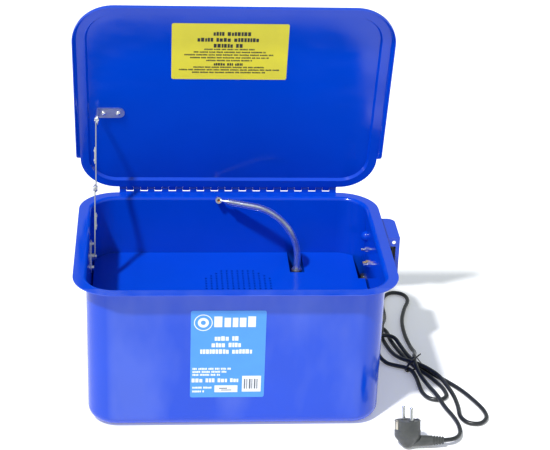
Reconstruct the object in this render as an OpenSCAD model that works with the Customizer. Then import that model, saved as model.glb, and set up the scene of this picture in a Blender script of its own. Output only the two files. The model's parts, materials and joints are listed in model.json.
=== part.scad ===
// Benchtop parts washer: a pressed steel tank with a hinged lid, a perforated shelf,
// a submersible pump that feeds a flexible spout, and a switch box with a mains lead.
// Millimetres, +Z up, -Y is the front. The origin is the middle of the tank's bottom face.

/* [Tank] */
// Width over the rim flange
rim_w = 450; // [430:1:470]
// Depth over the rim flange
rim_d = 330; // [320:1:340]
// Height from the bottom face to the top of the rim
tank_h = 222; // [220:1:224]
// Thickness of the sheet steel
sheet = 1.2; // [1:0.1:1.5]
// Width of the flat rim flange beyond the wall
flange = 18; // [16:1:20]
// Outside radius of the upright corners
corner_r = 40; // [36:1:44]
// Outside radius where the walls meet the floor
foot_r = 18; // [14:1:20]

/* [Lid] */
// How far the lid stands open, 0 is shut
lid_open = 74; // [0:1:74]
// Width over the lid's skirt
lid_w = 458; // [456:1:460]
// Distance from the hinge axis to the front of the skirt
lid_reach = 339; // [337:1:341]
// Depth of the skirt below the hinge axis
skirt_drop = 12.5; // [11:0.5:13]
// How far the middle panel is pressed up from the border
panel_rise = 4.2; // [3:0.1:4.5]

/* [Hinge] */
// Length of the continuous hinge
hinge_len = 332; // [300:1:340]
// Number of knuckles, both leaves together
knuckle_count = 31; // [21:2:35]
// Outside radius of a knuckle
knuckle_r = 3; // [2.8:0.1:3.2]
// Radius of the hinge pin
pin_r = 1.5; // [1.2:0.1:1.6]

/* [Shelf] */
// Height of the shelf's top face
shelf_z = 129; // [125:1:130]
// Radius of the drain field
drain_r = 55; // [30:1:60]
// Spacing of the drain holes
drain_pitch = 8; // [7:1:12]
// Diameter of a drain hole
drain_d = 3.5; // [3:0.5:5]

/* [Spout] */
// Radius of the gooseneck's curve, to its centreline
spout_bend_r = 72; // [70:1:72]
// Compass direction that the spout points in, anticlockwise from +X
spout_heading = 157; // [157:1:170]
// Outside radius of the clear sleeve
sleeve_r = 5.2; // [5:0.1:5.3]

/* [Switch box] */
// How far the box stands out from the wall
box_x = 41; // [40:1:44]
// Front to back length of the box
box_y = 66; // [66:1:70]
// Height of the box
box_z = 68; // [66:1:68]

/* [Cord] */
// Diameter of the mains lead
cord_d = 6.5; // [6:0.1:6.5]

/* [Hidden] */

$fn = 64;

// Finishes
paint = [0.03, 0.19, 0.80];
steel = [0.70, 0.71, 0.72];
black = [0.09, 0.09, 0.10];
brass = [0.74, 0.60, 0.32];
clear = [0.80, 0.84, 0.88, 0.5];

// Running clearance of a pin in its hole
fit = 0.05;

// Tank: half sizes of the wall's outside and of the corner centres
wall_x = rim_w / 2 - flange;
wall_y = rim_d / 2 - flange;
core_x = wall_x - corner_r;
core_y = wall_y - corner_r;
bend_r = 4;

// Lid, measured from the hinge axis with the lid shut
lid_gap = 1;
hinge_y = rim_d / 2 + knuckle_r;
hinge_z = tank_h + lid_gap + sheet + knuckle_r;
border_top = -knuckle_r;
border_under = border_top - sheet;
panel_under = border_under + panel_rise;
lid_corner_r = 60;
lid_bend_r = 6;
border_w = 12;
lid_rear = -7;
lid_core_x = lid_w / 2 - lid_corner_r;
lid_core_front = -lid_reach + lid_corner_r;
plate_r = lid_corner_r - lid_bend_r;
lid_core_rear = lid_rear - plate_r;

// Hinge
pitch = hinge_len / knuckle_count;
knuckle_gap = 0.4;

// Lid stay: two strips side by side in x, pivots as [y, z]
strip_t = 1.5;
strip_w = 12;
rivet_r = 2;
lower_x = -200.2;
upper_x = -198.6;
stay_foot = [37, 177.5];
stay_top_local = [-146, -17];
stay_top = [
    hinge_y + stay_top_local[0] * cos(lid_open) + stay_top_local[1] * sin(lid_open),
    hinge_z - stay_top_local[0] * sin(lid_open) + stay_top_local[1] * cos(lid_open)
];
arm_len = norm(stay_top - stay_foot) / 2;
stay_slope = atan2(stay_top[1] - stay_foot[1], stay_top[0] - stay_foot[0]);
// Distance of a splice's middle from the knee, and its length
splice_at = 48;
splice_len = 24;

// Wall fasteners as [y, z]
bracket_holes = [[30, 162], [44, 193]];
box_holes = [[38, 163], [72, 171]];
earth_hole = [54, 158];
plug_hole = [86, 186];
drain_at = [12, 35];
lead_hole = [88, 112];
bolt_r = 2;
bolt_hole_r = 2.1;

// Switch box corner nearest the front and the floor
box_at = [wall_x, 32, 142];
box_corner_r = 12;
window = [29, 43];
window_at = [box_at[0] + 6.5, box_at[2] + 11];
rocker_size = [20, 28];
rocker_tilt = 8;

// Pump and spout: the supply rises from the pump's top at this place
riser_at = [103, 88.5];
pump_size = [62, 46, 44];
pump_at = [riser_at[0] - 30, riser_at[1] - 26, 8];
spout_foot_z = 131;
spout_rise = 149;
spout_reach = 120;

// Mains lead: the hank lies on the floor beside the tank, tied in the middle
cord_r = cord_d / 2;
cord_start = [226, 60, 108];
cord_route = [
    cord_start, [226, 60, 82], [226, 57, 54], [226, 49, 28], [229, 35, 10],
    [239, 21, 3.8], [253, 12, 3.6], [266, 5, 4.2], [275, -6, 4.2], [279, -24, 3.4],
    [280, -46, 3.4], [282, -66, 3.4], [290, -81, 3.4], [305, -85, 3.4], [316, -74, 3.4],
    [314, -53, 3.4], [307, -36, 3.4], [299, -20, 3.5], [290, -7, 4.2], [281, 7, 4.4],
    [272, 29, 3.4], [262, 60, 3.4], [255, 90, 3.4], [253, 111, 3.4], [247, 126, 3.4],
    [234, 133, 3.4], [219, 128, 3.4], [212, 114, 3.4], [217, 98, 4.6], [231, 90, 8.6],
    [246, 91, 10.8], [260, 85, 10], [268, 68, 5], [275, 44, 3.4], [283, 21, 4.4],
    [292, 4, 4.4], [305, -13, 3.4], [323, -34, 3.4], [341, -60, 3.4], [355, -89, 3.4],
    [364, -115, 3.4], [364, -135, 3.4], [352, -149, 3.4], [335, -146, 3.4], [327, -129, 3.4],
    [328, -104, 3.4], [327, -76, 3.4], [322, -50, 4], [312, -28, 9.2], [296, -7, 11.2],
    [278, 10, 11], [263, 27, 7], [253, 49, 3.6], [246, 75, 3.4], [243, 98, 4],
    [244, 113, 8.6], [247, 127, 10.8], [252, 144, 8], [256, 170, 3.6], [257, 203, 3.4],
    [264, 231, 3.4], [279, 244, 3.4], [296, 238, 3.4], [301, 218, 3.4], [291, 188, 3.4],
    [282, 150, 3.4], [280, 108, 3.4], [283, 68, 4.2], [285, 40, 10.6], [281, 17, 17.6],
    [279, -4, 17.4], [283, -28, 12.4], [291, -56, 10.4], [300, -84, 10.4], [308, -106, 5],
    [316, -129, 3.4], [320, -152, 4], [318, -177, 5], [306, -195, 8.6], [286, -202, 10.7]
];
cord_sides = 8;
tie_at = [276.5, 4];
tie_turn = 27;

// Plug: it lies on its back with the pins up
plug_at = [239, -202];
plug_r = 18.5;
plug_h = 38;
plug_foot_r = 6;
plug_cone = 15;
plug_lean = 24;
pin_turn = -65;
stem_z = 9;
stem_lift = 10.7;
stem_length = 51;

// Pump lead: from the pump, out through the wall gland and up into the switch box
lead_r = 2.9;
lead_route = [
    [135, 85, 30], [149, 85, 30.5], [163, 86, 36], [172, 87, 50], [176, 88, 68],
    [180, 88, 86], [187, 88, 101], [197, 88, 110], [207, 88, 112], [217, 88, 113],
    [229, 88, 118.5], [236, 88, 130], [238, 88, 142], [238, 88, 150]
];

// Sweep functions: a ring of points is carried along a route without twisting
function unit(v) = v / norm(v);
function heading(route, i) = unit(
    route[min(i + 1, len(route) - 1)] - route[max(i - 1, 0)]
);
function level(v, dir) = unit(v - (v * dir) * dir);
function normals(route, first) = [
    for (i = 0, v = level(first, heading(route, 0)); i < len(route);
        i = i + 1, v = i < len(route) ? level(v, heading(route, i)) : v) v
];
function ring(centre, dir, side, radius, sides) = [
    for (k = [0 : sides - 1])
        centre + radius * (cos(360 * k / sides) * side + sin(360 * k / sides) * cross(dir, side))
];

// A closed round tube along a route
module swept_cord(route, radius, sides, first) {
    across = normals(route, first);
    last = len(route) - 1;
    points = [
        for (i = [0 : last]) each ring(route[i], heading(route, i), across[i], radius, sides)
    ];
    skin = [
        for (i = [0 : last - 1]) for (k = [0 : sides - 1]) let (n = (k + 1) % sides)
            [i * sides + k, (i + 1) * sides + k, (i + 1) * sides + n, i * sides + n]
    ];
    start_cap = [for (k = [0 : sides - 1]) k];
    end_cap = [for (k = [sides - 1 : -1 : 0]) last * sides + k];
    polyhedron(points, concat([start_cap], skin, [end_cap]), convexity = 8);
}

// A quarter of a flat ring, bulging towards +x and +y before it is turned
module quarter_ring(outer, thick, turn) {
    rotate(turn) intersection() {
        difference() {
            circle(outer);
            circle(outer - thick);
        }
        square(outer + 1);
    }
}

// Carries a section round a rounded rectangle between its corner centres. The section's
// x points outwards. The second section serves the rear side and the rear corners.
module carried_round(x0, y0, x1, y1) {
    rear = $children - 1;
    translate([x1, y1, 0]) rotate([90, 0, 0]) linear_extrude(y1 - y0) children(0);
    translate([x0, y0, 0]) rotate([90, 0, 180]) linear_extrude(y1 - y0) children(0);
    translate([x1, y0, 0]) rotate([90, 0, -90]) linear_extrude(x1 - x0) children(0);
    translate([x0, y1, 0]) rotate([90, 0, 90]) linear_extrude(x1 - x0) children(rear);
    translate([x1, y0, 0]) rotate(-90) rotate_extrude(angle = 90) children(0);
    translate([x0, y0, 0]) rotate(180) rotate_extrude(angle = 90) children(0);
    translate([x1, y1, 0]) rotate_extrude(angle = 90) children(rear);
    translate([x0, y1, 0]) rotate(90) rotate_extrude(angle = 90) children(rear);
}

// A cylinder along +X from a place
module rod_x(at, radius, length) {
    translate(at) rotate([0, 90, 0]) cylinder(r = radius, h = length);
}

// A flat bar in the Y-Z plane between two pivots, with round ends and a hole in each
module link_bar(x, from, to, width, thick, hole) {
    span = norm(to - from);
    turn = atan2(to[1] - from[1], to[0] - from[0]);
    translate([x, from[0], from[1]]) rotate([turn, 0, 0]) difference() {
        union() {
            translate([0, 0, -width / 2]) cube([thick, span, width]);
            rod_x([0, 0, 0], width / 2, thick);
            rod_x([0, span, 0], width / 2, thick);
        }
        if (hole > 0) {
            rod_x([-1, 0, 0], hole, thick + 2);
            rod_x([-1, span, 0], hole, thick + 2);
        }
    }
}

// Places its children in the lid's frame: the hinge axis, shut position
module on_lid() {
    translate([0, hinge_y, hinge_z]) rotate([-lid_open, 0, 0]) children();
}

// Places its children on a stay arm: from its pivot towards the knee along +Y
module on_arm(x, pivot, turn) {
    translate([x, pivot[0], pivot[1]]) rotate([turn, 0, 0]) children();
}

// ---- Tank ----

module wall_section() {
    inner_r = corner_r - foot_r;
    flange_in = corner_r + bend_r;
    square([inner_r, sheet]);
    translate([inner_r, foot_r]) quarter_ring(foot_r, sheet, -90);
    translate([corner_r - sheet, foot_r]) square([sheet, tank_h - foot_r - bend_r - sheet]);
    translate([flange_in, tank_h - bend_r - sheet]) quarter_ring(bend_r + sheet, sheet, 90);
    translate([flange_in, tank_h - sheet]) square([flange - bend_r, sheet]);
}

module tank_shell() {
    wall_in = wall_x - sheet;
    color(paint) difference() {
        union() {
            carried_round(-core_x, -core_y, core_x, core_y) wall_section();
            translate([-core_x, -core_y, 0]) cube([2 * core_x, 2 * core_y, sheet]);
        }
        for (h = bracket_holes) rod_x([-wall_x - 1, h[0], h[1]], bolt_hole_r, sheet + 2);
        for (h = concat(box_holes, [earth_hole]))
            rod_x([wall_in - 1, h[0], h[1]], bolt_hole_r, sheet + 2);
        rod_x([wall_in - 1, plug_hole[0], plug_hole[1]], 6.05, sheet + 2);
        rod_x([wall_in - 1, lead_hole[0], lead_hole[1]], 6.05, sheet + 2);
    }
}

module knuckles(first) {
    for (i = [first : 2 : knuckle_count - 1])
        rod_x([-hinge_len / 2 + i * pitch + knuckle_gap / 2, 0, 0], knuckle_r,
            pitch - knuckle_gap);
}

module hinge_tank_leaf() {
    foot_z = tank_h - sheet - hinge_z;
    low_top = -knuckle_r - 0.6;
    color(paint) translate([0, hinge_y, hinge_z]) difference() {
        union() {
            knuckles(0);
            translate([-hinge_len / 2, -knuckle_r, foot_z - sheet])
                cube([hinge_len, sheet, low_top - foot_z + sheet]);
            translate([-hinge_len / 2, 3 - flange, foot_z - sheet]) cube([hinge_len, flange - 5, sheet]);
            for (i = [0 : 2 : knuckle_count - 1])
                translate([-hinge_len / 2 + i * pitch + knuckle_gap / 2, -knuckle_r, foot_z])
                    cube([pitch - knuckle_gap, sheet, -foot_z]);
        }
        rod_x([-hinge_len / 2 - 1, 0, 0], pin_r + fit, hinge_len + 2);
    }
}

module hinge_pin() {
    color(steel) rod_x([-hinge_len / 2, hinge_y, hinge_z], pin_r, hinge_len);
}

// ---- Shelf ----

shelf_x = wall_x - sheet - 2;
shelf_front = -128;
shelf_back = wall_y - sheet - 0.6;
notch_x = [92, 114];
notch_front = 79;
lead_cut = [193.5, 58];

module shelf_outline() {
    round_r = corner_r - 3;
    core = [shelf_x - round_r, shelf_back - round_r];
    difference() {
        intersection() {
            union() {
                square(2 * [shelf_x, core[1]], center = true);
                square(2 * [core[0], shelf_back], center = true);
                for (x = [-core[0], core[0]]) for (y = [-core[1], core[1]])
                    translate([x, y]) circle(round_r);
            }
            translate([-shelf_x, shelf_front]) square([2 * shelf_x, shelf_back - shelf_front]);
        }
        translate([notch_x[0], notch_front]) square([notch_x[1] - notch_x[0], shelf_back]);
        translate([lead_cut[0], lead_cut[1]]) square([50, shelf_back]);
    }
}

module parts_shelf() {
    steps = ceil(drain_r / drain_pitch);
    color(paint) {
        difference() {
            translate([0, 0, shelf_z - sheet]) linear_extrude(sheet) shelf_outline();
            for (i = [-steps : steps]) for (j = [-steps : steps])
                if (norm([i, j]) * drain_pitch <= drain_r)
                    translate([drain_at[0] + i * drain_pitch, drain_at[1] + j * drain_pitch, shelf_z - sheet - 1])
                        cylinder(d = drain_d, h = sheet + 2, $fn = 24);
        }
        difference() {
            translate([-172, shelf_front, sheet]) cube([344, sheet, shelf_z - 2 * sheet]);
            for (x = [-120, 0, 120]) translate([x - 45, shelf_front - 1, -1]) cube([90, 4, 46]);
        }
    }
}

module shelf_legs() {
    color(paint) for (x = [-150, 20]) translate([x, 117, sheet]) {
        cube([44, sheet, shelf_z - 2 * sheet]);
        translate([0, -12, 0]) cube([44, 12, sheet]);
        translate([0, -12, shelf_z - 3 * sheet]) cube([44, 12, sheet]);
    }
}

// ---- Pump ----

module rounded_block(size, r) {
    translate([r, 0, 0]) cube([size[0] - 2 * r, size[1], size[2]]);
    translate([0, r, 0]) cube([size[0], size[1] - 2 * r, size[2]]);
    for (x = [r, size[0] - r]) for (y = [r, size[1] - r])
        translate([x, y, 0]) cylinder(r = r, h = size[2]);
}

module pump_body() {
    color(black) translate(pump_at) rounded_block(pump_size, 6);
}

module pump_strainer() {
    slot = 3;
    color(black) translate([pump_at[0] + 4, pump_at[1] - 5, pump_at[2] + 3]) difference() {
        cube([pump_size[0] - 8, 5, pump_size[2] - 6]);
        translate([2, 1.5, 2]) cube([pump_size[0] - 12, 4, pump_size[2] - 10]);
        for (i = [0 : 6]) translate([6 + i * 6.6, -1, 5]) cube([slot, 4, pump_size[2] - 16]);
    }
}

module pump_feet() {
    color(black) for (x = [10, pump_size[0] - 10]) for (y = [10, pump_size[1] - 10])
        translate([pump_at[0] + x, pump_at[1] + y, sheet]) {
            cylinder(r = 8, h = 2);
            cylinder(r = 4, h = pump_at[2] - sheet);
        }
}

module pump_outlet() {
    translate([riser_at[0], riser_at[1], pump_at[2] + pump_size[2]]) color(black) difference() {
        union() {
            cylinder(r = 9, h = 4);
            cylinder(r = 5.5, h = 16);
        }
        translate([0, 0, -1]) cylinder(r = 3.5, h = 18);
    }
}

module supply_tube() {
    translate([riser_at[0], riser_at[1], pump_at[2] + pump_size[2] + 4]) color(clear) difference() {
        cylinder(r = 7.5, h = 58);
        translate([0, 0, -1]) cylinder(r = 5.6, h = 60);
    }
}

module swivel_socket() {
    low = pump_at[2] + pump_size[2] + 62;
    translate([riser_at[0], riser_at[1], low]) color(brass) difference() {
        union() {
            cylinder(r = 7.8, h = spout_foot_z - 1.6 - low);
            translate([0, 0, -10]) cylinder(r = 5.5, h = 10);
        }
        translate([0, 0, -11]) cylinder(r = 3.5, h = 40);
        translate([0, 0, 2]) cylinder(r = 5.5 + fit, h = 40);
    }
}

module pump_lead() {
    color(black) swept_cord(lead_route, lead_r, 8, [0, 1, 0]);
}

module lead_gland() {
    color(black) difference() {
        union() {
            rod_x([wall_x - sheet - 4, lead_hole[0], lead_hole[1]], 9, 4);
            rod_x([wall_x - sheet, lead_hole[0], lead_hole[1]], 6, sheet);
            rod_x([wall_x, lead_hole[0], lead_hole[1]], 9, 5);
        }
        rod_x([wall_x - sheet - 5, lead_hole[0], lead_hole[1]], 4, 12);
    }
}

module blanking_plug() {
    color(paint) {
        rod_x([wall_x - sheet, plug_hole[0], plug_hole[1]], 6, sheet + 2);
        intersection() {
            translate([wall_x - sheet, plug_hole[0], plug_hole[1]]) sphere(r = 8);
            rod_x([wall_x - sheet - 9, plug_hole[0], plug_hole[1]], 9, 9);
        }
    }
}

// ---- Switch box ----

module box_solid(shrink) {
    r = box_corner_r - shrink;
    x = box_x - shrink;
    y0 = shrink;
    y1 = box_y - shrink;
    translate([0, y0, shrink]) linear_extrude(box_z - 2 * shrink) {
        square([x, y1 - y0 - r]);
        square([x - r, y1 - y0]);
        translate([x - r, y1 - y0 - r]) circle(r);
    }
}

module switch_box() {
    color(paint) difference() {
        translate(box_at) box_solid(0);
        translate([box_at[0] - 1, box_at[1], box_at[2]]) box_solid(sheet);
        translate([window_at[0], box_at[1] - 1, window_at[1]]) cube([window[0], 4, window[1]]);
        translate([cord_start[0], cord_start[1], box_at[2] - 1]) cylinder(r = 6.05, h = 4);
        translate([238, lead_hole[0], box_at[2] - 1]) cylinder(r = 3.2, h = 4);
        translate([239, box_at[1] - 1, box_at[2] + 61.5]) rotate([-90, 0, 0])
            cylinder(r = 1.6, h = 4);
    }
}

// A pan-head bolt through a wall along +X, head at its low end
module wall_bolt(at, length) {
    rod_x(at, bolt_r, length);
    rod_x([at[0] - 2.2, at[1], at[2]], 3.8, 2.2);
}

module hex_nut(at) {
    translate(at) rotate([0, 90, 0]) difference() {
        cylinder(r = 4, h = 3.2, $fn = 6);
        translate([0, 0, -1]) cylinder(r = bolt_r + 0.02, h = 6);
    }
}

module box_bolts() {
    color(steel) for (h = box_holes) mirror([1, 0, 0]) wall_bolt([-wall_x, h[0], h[1]], 10);
}

module box_nuts() {
    color(steel) for (h = box_holes) hex_nut([wall_x - sheet - 3.2, h[0], h[1]]);
}

module earth_stud() {
    at = [wall_x, earth_hole[0], earth_hole[1]];
    color(brass) {
        mirror([1, 0, 0]) wall_bolt([-at[0], at[1], at[2]], 9);
        hex_nut([at[0] - sheet - 3.2, at[1], at[2]]);
    }
}

module box_cover_screw() {
    color(steel) translate([239, box_at[1], box_at[2] + 61.5]) {
        rotate([-90, 0, 0]) cylinder(r = 1.5, h = 5);
        rotate([90, 0, 0]) cylinder(r = 2.6, h = 1.4);
    }
}

module switch_bezel() {
    rim = 2.5;
    x = window_at[0];
    z = window_at[1];
    y = box_at[1] + sheet;
    color(black) difference() {
        translate([x - rim, y, z - rim]) cube([window[0] + 2 * rim, 7, window[1] + 2 * rim]);
        translate([x + 1, y - 1, z + 1]) cube([window[0] - 2, 6, window[1] - 2]);
        translate([x + (window[0] - rocker_size[0]) / 2 - 0.4, y, z + (window[1] - rocker_size[1]) / 2 - 1.2])
            cube([rocker_size[0] + 0.8, 9, rocker_size[1] + 2.4]);
    }
}

// Middle of the rocker's pivot
rocker_at = [
    window_at[0] + window[0] / 2, box_at[1] + sheet + 9, window_at[1] + window[1] / 2
];

module switch_module() {
    y = box_at[1] + sheet + 7;
    color(black) difference() {
        translate([rocker_at[0] - 12.5, y, rocker_at[2] - 16.5]) cube([25, 22, 33]);
        translate([rocker_at[0] - 10.4, y - 1, rocker_at[2] - 14.4]) cube([20.8, 15, 28.8]);
        rod_x([rocker_at[0] - 12, rocker_at[1], rocker_at[2]], 1.5 + fit, 24);
    }
}

module switch_rocker() {
    half = rocker_size[1] / 2;
    color([0.25, 0.2, 0.18]) translate(rocker_at) {
        rotate([rocker_tilt, 0, 0]) translate([-rocker_size[0] / 2, 0, 0]) rotate([90, 0, 90])
            linear_extrude(rocker_size[0])
                polygon([[-5.5, -half], [-3.2, 0], [-5.5, half], [1.5, half * 0.8],
                    [4, 3], [4, -3], [1.5, -half * 0.8]]);
        rod_x([-rocker_size[0] / 2 - 1.2, 0, 0], 1.5, rocker_size[0] + 2.4);
    }
}

module cord_gland() {
    low = box_at[2];
    color(black) translate([cord_start[0], cord_start[1], 0]) {
        translate([0, 0, low - 8]) cylinder(r = 9, h = 8, $fn = 6);
        translate([0, 0, low]) cylinder(r = 6, h = sheet + 4);
        translate([0, 0, low + sheet]) cylinder(r = 8.5, h = 3, $fn = 6);
    }
}

module strain_relief() {
    low = cord_start[2];
    color(black) translate([cord_start[0], cord_start[1], low]) cylinder(r1 = 4.2, r2 = 6, h = box_at[2] - 8 - low);
}

// ---- Mains lead ----

module power_cord() {
    color(black) swept_cord(cord_route, cord_r, cord_sides, [1, 0, 0]);
}

// Places of the runs inside the tie, across it and up
tie_runs = [[-7.7, 4.2], [5.4, 4.4], [13.7, 4.4], [5.7, 11], [3.8, 17.5]];

module tie_outline(grow) {
    hull() for (p = tie_runs) translate(p) circle(r = cord_r + grow, $fn = 32);
}

module cord_tie() {
    color([0.3, 0.3, 0.31]) translate([tie_at[0], tie_at[1], 0]) rotate(tie_turn) rotate([90, 0, 0])
        translate([0, 0, -2]) linear_extrude(4) difference() {
            intersection() {
                tie_outline(1.6);
                translate([-40, 0.1]) square([80, 40]);
            }
            tie_outline(0.8);
        }
}

// The plug leans back on the cone of its base, turned about the axis of its stem
module on_plug() {
    translate([plug_at[0], plug_at[1], stem_lift]) rotate([-plug_lean, 0, 0]) translate([0, 0, -stem_z])
        children();
}

module clip_blades() {
    rotate(pin_turn) for (s = [-1, 1]) translate([-3, s * (plug_r - 0.9) - 0.6, plug_h - 12])
        cube([6, 1.2, 12.8]);
}

module plug_body() {
    color([0.4, 0.41, 0.41]) on_plug() {
        difference() {
            translate([0, 0, plug_cone]) cylinder(r = plug_r, h = plug_h - plug_cone);
            clip_blades();
        }
        cylinder(r1 = plug_foot_r, r2 = plug_r, h = plug_cone);
        translate([0, 0, stem_z]) rotate([0, 90, 0]) cylinder(r1 = 8.2, r2 = 7, h = 30);
        translate([30, 0, stem_z]) rotate([0, 90, 0]) cylinder(r1 = 7, r2 = 4.8, h = stem_length - 30);
    }
}

module plug_pins() {
    color(steel) on_plug() rotate(pin_turn) for (s = [-9.5, 9.5]) translate([s, 0, plug_h]) {
        cylinder(r = 2.4, h = 16.6);
        translate([0, 0, 16.6]) sphere(r = 2.4);
    }
}

module plug_earth_clips() {
    color(brass) on_plug() clip_blades();
}

// ---- Labels ----

module front_label() {
    color([0.3, 0.6, 0.9]) translate([-63.5, -wall_y - 0.25, 50]) cube([103.5, 0.25, 138.5]);
}

module lid_label() {
    color([0.93, 0.87, 0.25]) on_lid() translate([-89, -305, panel_under - 0.25]) cube([166, 97, 0.25]);
}

// ---- Lid ----

module lid_plate_section() {
    inner = plate_r - border_w;
    slope = 3;
    square_z = panel_under;
    translate([0, square_z]) square([inner - slope, sheet]);
    translate([inner, border_under]) square([border_w, sheet]);
    polygon([
        [inner - slope, panel_under], [inner - slope, panel_under + sheet],
        [inner - slope + 0.6, panel_under + sheet], [inner + 0.4, border_top],
        [inner + 0.4, border_under], [inner - 0.2, border_under]
    ]);
}

module lid_edge_section() {
    lid_plate_section();
    translate([plate_r, border_top - lid_bend_r]) quarter_ring(lid_bend_r, sheet, 0);
    translate([lid_corner_r - sheet, -skirt_drop])
        square([sheet, skirt_drop + border_top - lid_bend_r]);
}

module lid_shell() {
    edge = lid_w / 2;
    tip = -skirt_drop - 1;
    color(paint) on_lid() difference() {
        union() {
            carried_round(-lid_core_x, lid_core_front, lid_core_x, lid_core_rear) {
                lid_edge_section();
                lid_plate_section();
            }
            translate([-lid_core_x, lid_core_front, panel_under])
                cube([2 * lid_core_x, lid_core_rear - lid_core_front, sheet]);
        }
        for (s = [0, 1]) mirror([s, 0, 0]) translate([edge - lid_bend_r, 0, 0])
            rotate([90, 0, 90]) linear_extrude(lid_bend_r + 2)
                polygon([[-56, 1], [-62, 1], [-63, -4.2], [-67, -8], [-76, tip], [-56, tip]]);
    }
}

module hinge_lid_leaf() {
    leaf_w = 20;
    color(paint) on_lid() difference() {
        union() {
            knuckles(1);
            translate([-hinge_len / 2, -leaf_w, border_top]) cube([hinge_len, leaf_w - 5, sheet]);
            for (i = [1 : 2 : knuckle_count - 1])
                translate([-hinge_len / 2 + i * pitch + knuckle_gap / 2, -6, border_top])
                    cube([pitch - knuckle_gap, 6, sheet]);
        }
        rod_x([-hinge_len / 2 - 1, 0, 0], pin_r + fit, hinge_len + 2);
        translate([-hinge_len / 2 - 1, -leaf_w - 1, panel_under - 4]) cube([hinge_len + 2, 3.5, 8]);
    }
}

// ---- Lid stay ----

module stay_wall_bracket() {
    x = -wall_x + sheet;
    color(steel) difference() {
        union() {
            link_bar(x, bracket_holes[0], bracket_holes[1], 15, 1.5, 0);
            rod_x([x + 1.5, stay_foot[0], stay_foot[1]], 5, lower_x - 0.1 - x - 1.5);
        }
        for (h = bracket_holes) rod_x([x - 1, h[0], h[1]], bolt_hole_r, 4);
        rod_x([x - 1, stay_foot[0], stay_foot[1]], rivet_r, 9);
    }
}

module bracket_bolts() {
    color(steel) for (h = bracket_holes) wall_bolt([-wall_x, h[0], h[1]], 6);
}

module bracket_nuts() {
    color(steel) for (h = bracket_holes) hex_nut([-wall_x + sheet + 1.5, h[0], h[1]]);
}

module stay_lower_rivet() {
    color(steel) {
        rod_x([-wall_x + sheet, stay_foot[0], stay_foot[1]], rivet_r, lower_x + strip_t + 0.1 + wall_x - sheet);
        rod_x([lower_x + strip_t + 0.1, stay_foot[0], stay_foot[1]], 3.8, 1.3);
    }
}

module stay_lid_bracket() {
    ear_x = upper_x + strip_t + 0.1;
    pivot = stay_top_local;
    color(steel) on_lid() difference() {
        union() {
            translate([ear_x, pivot[0] - 8.5, panel_under - 2]) cube([32, 17, 2]);
            translate([ear_x + 32, pivot[0], panel_under - 2]) cylinder(r = 8.5, h = 2);
            translate([ear_x, pivot[0] - 8.5, pivot[1]]) cube([2, 17, panel_under - pivot[1]]);
            rod_x([ear_x, pivot[0], pivot[1]], 8.5, 2);
        }
        rod_x([ear_x - 1, pivot[0], pivot[1]], rivet_r, 4);
        for (x = bracket_rivets) translate([x, pivot[0], panel_under - 3]) cylinder(r = 2, h = 4);
    }
}

bracket_rivets = [-187.5, -166];

module lid_bracket_rivets() {
    color(steel) on_lid() for (x = bracket_rivets) translate([x, stay_top_local[0], 0]) {
        translate([0, 0, panel_under - 2]) cylinder(r = 2, h = 2);
        intersection() {
            translate([0, 0, panel_under - 1.2]) sphere(r = 3.4);
            translate([-5, -5, panel_under - 7]) cube([10, 10, 5]);
        }
    }
}

module stay_upper_rivet() {
    ear_x = upper_x + strip_t + 0.1;
    at = stay_top_local;
    color(steel) on_lid() {
        rod_x([upper_x - 0.1, at[0], at[1]], rivet_r, ear_x + 2 - upper_x + 0.1);
        rod_x([upper_x - 1.4, at[0], at[1]], 3.8, 1.3);
        rod_x([ear_x + 2, at[0], at[1]], 3.8, 1.3);
    }
}

// An arm's strip from its pivot to the knee
module stay_strip(x, pivot, turn) {
    on_arm(x, pivot, turn) link_bar(0, [0, 0], [arm_len, 0], strip_w, strip_t, rivet_r + fit);
}

// A short cover plate riveted on an arm, its middle splice_at from the knee
module splice_plate(x, pivot, turn) {
    on_arm(x, pivot, turn) translate([0, arm_len - splice_at - splice_len / 2, 0]) difference() {
        translate([0, 0, -strip_w / 2 + 1]) cube([strip_t, splice_len, strip_w - 2]);
        for (y = [5, splice_len - 5]) rod_x([-1, y, 0], 1.5, 4);
    }
}

module splice_pins(x, pivot, turn, side) {
    on_arm(x, pivot, turn) for (y = [5, splice_len - 5])
        translate([0, arm_len - splice_at - splice_len / 2 + y, 0]) {
            rod_x([0, 0, 0], 1.5, strip_t);
            rod_x([side > 0 ? strip_t : -0.9, 0, 0], 2.6, 0.9);
        }
}

module stay_upper_strip() {
    color(steel) stay_strip(upper_x, stay_top, stay_slope + 180);
}

module fusible_link() {
    color(brass) splice_plate(upper_x - strip_t, stay_top, stay_slope + 180);
}

module link_rivets() {
    color(steel) splice_pins(upper_x - strip_t, stay_top, stay_slope + 180, -1);
}

module stay_lower_strip() {
    color(steel) stay_strip(lower_x, stay_foot, stay_slope);
}

module stay_splice() {
    color(steel) splice_plate(lower_x + strip_t, stay_foot, stay_slope);
}

module splice_rivets() {
    color(steel) splice_pins(lower_x + strip_t, stay_foot, stay_slope, 1);
}

knee = (stay_foot + stay_top) / 2;

module knee_rivet_head() {
    color(steel) {
        rod_x([upper_x, knee[0], knee[1]], rivet_r, strip_t);
        rod_x([upper_x + strip_t, knee[0], knee[1]], 4, 1.6);
    }
}

module knee_rivet_tail() {
    color(steel) {
        rod_x([lower_x, knee[0], knee[1]], rivet_r, strip_t);
        rod_x([lower_x - 1.6, knee[0], knee[1]], 4, 1.6);
    }
}

// ---- Spout ----

module at_spout() {
    translate([riser_at[0], riser_at[1], 0]) rotate(spout_heading) children();
}

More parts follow.
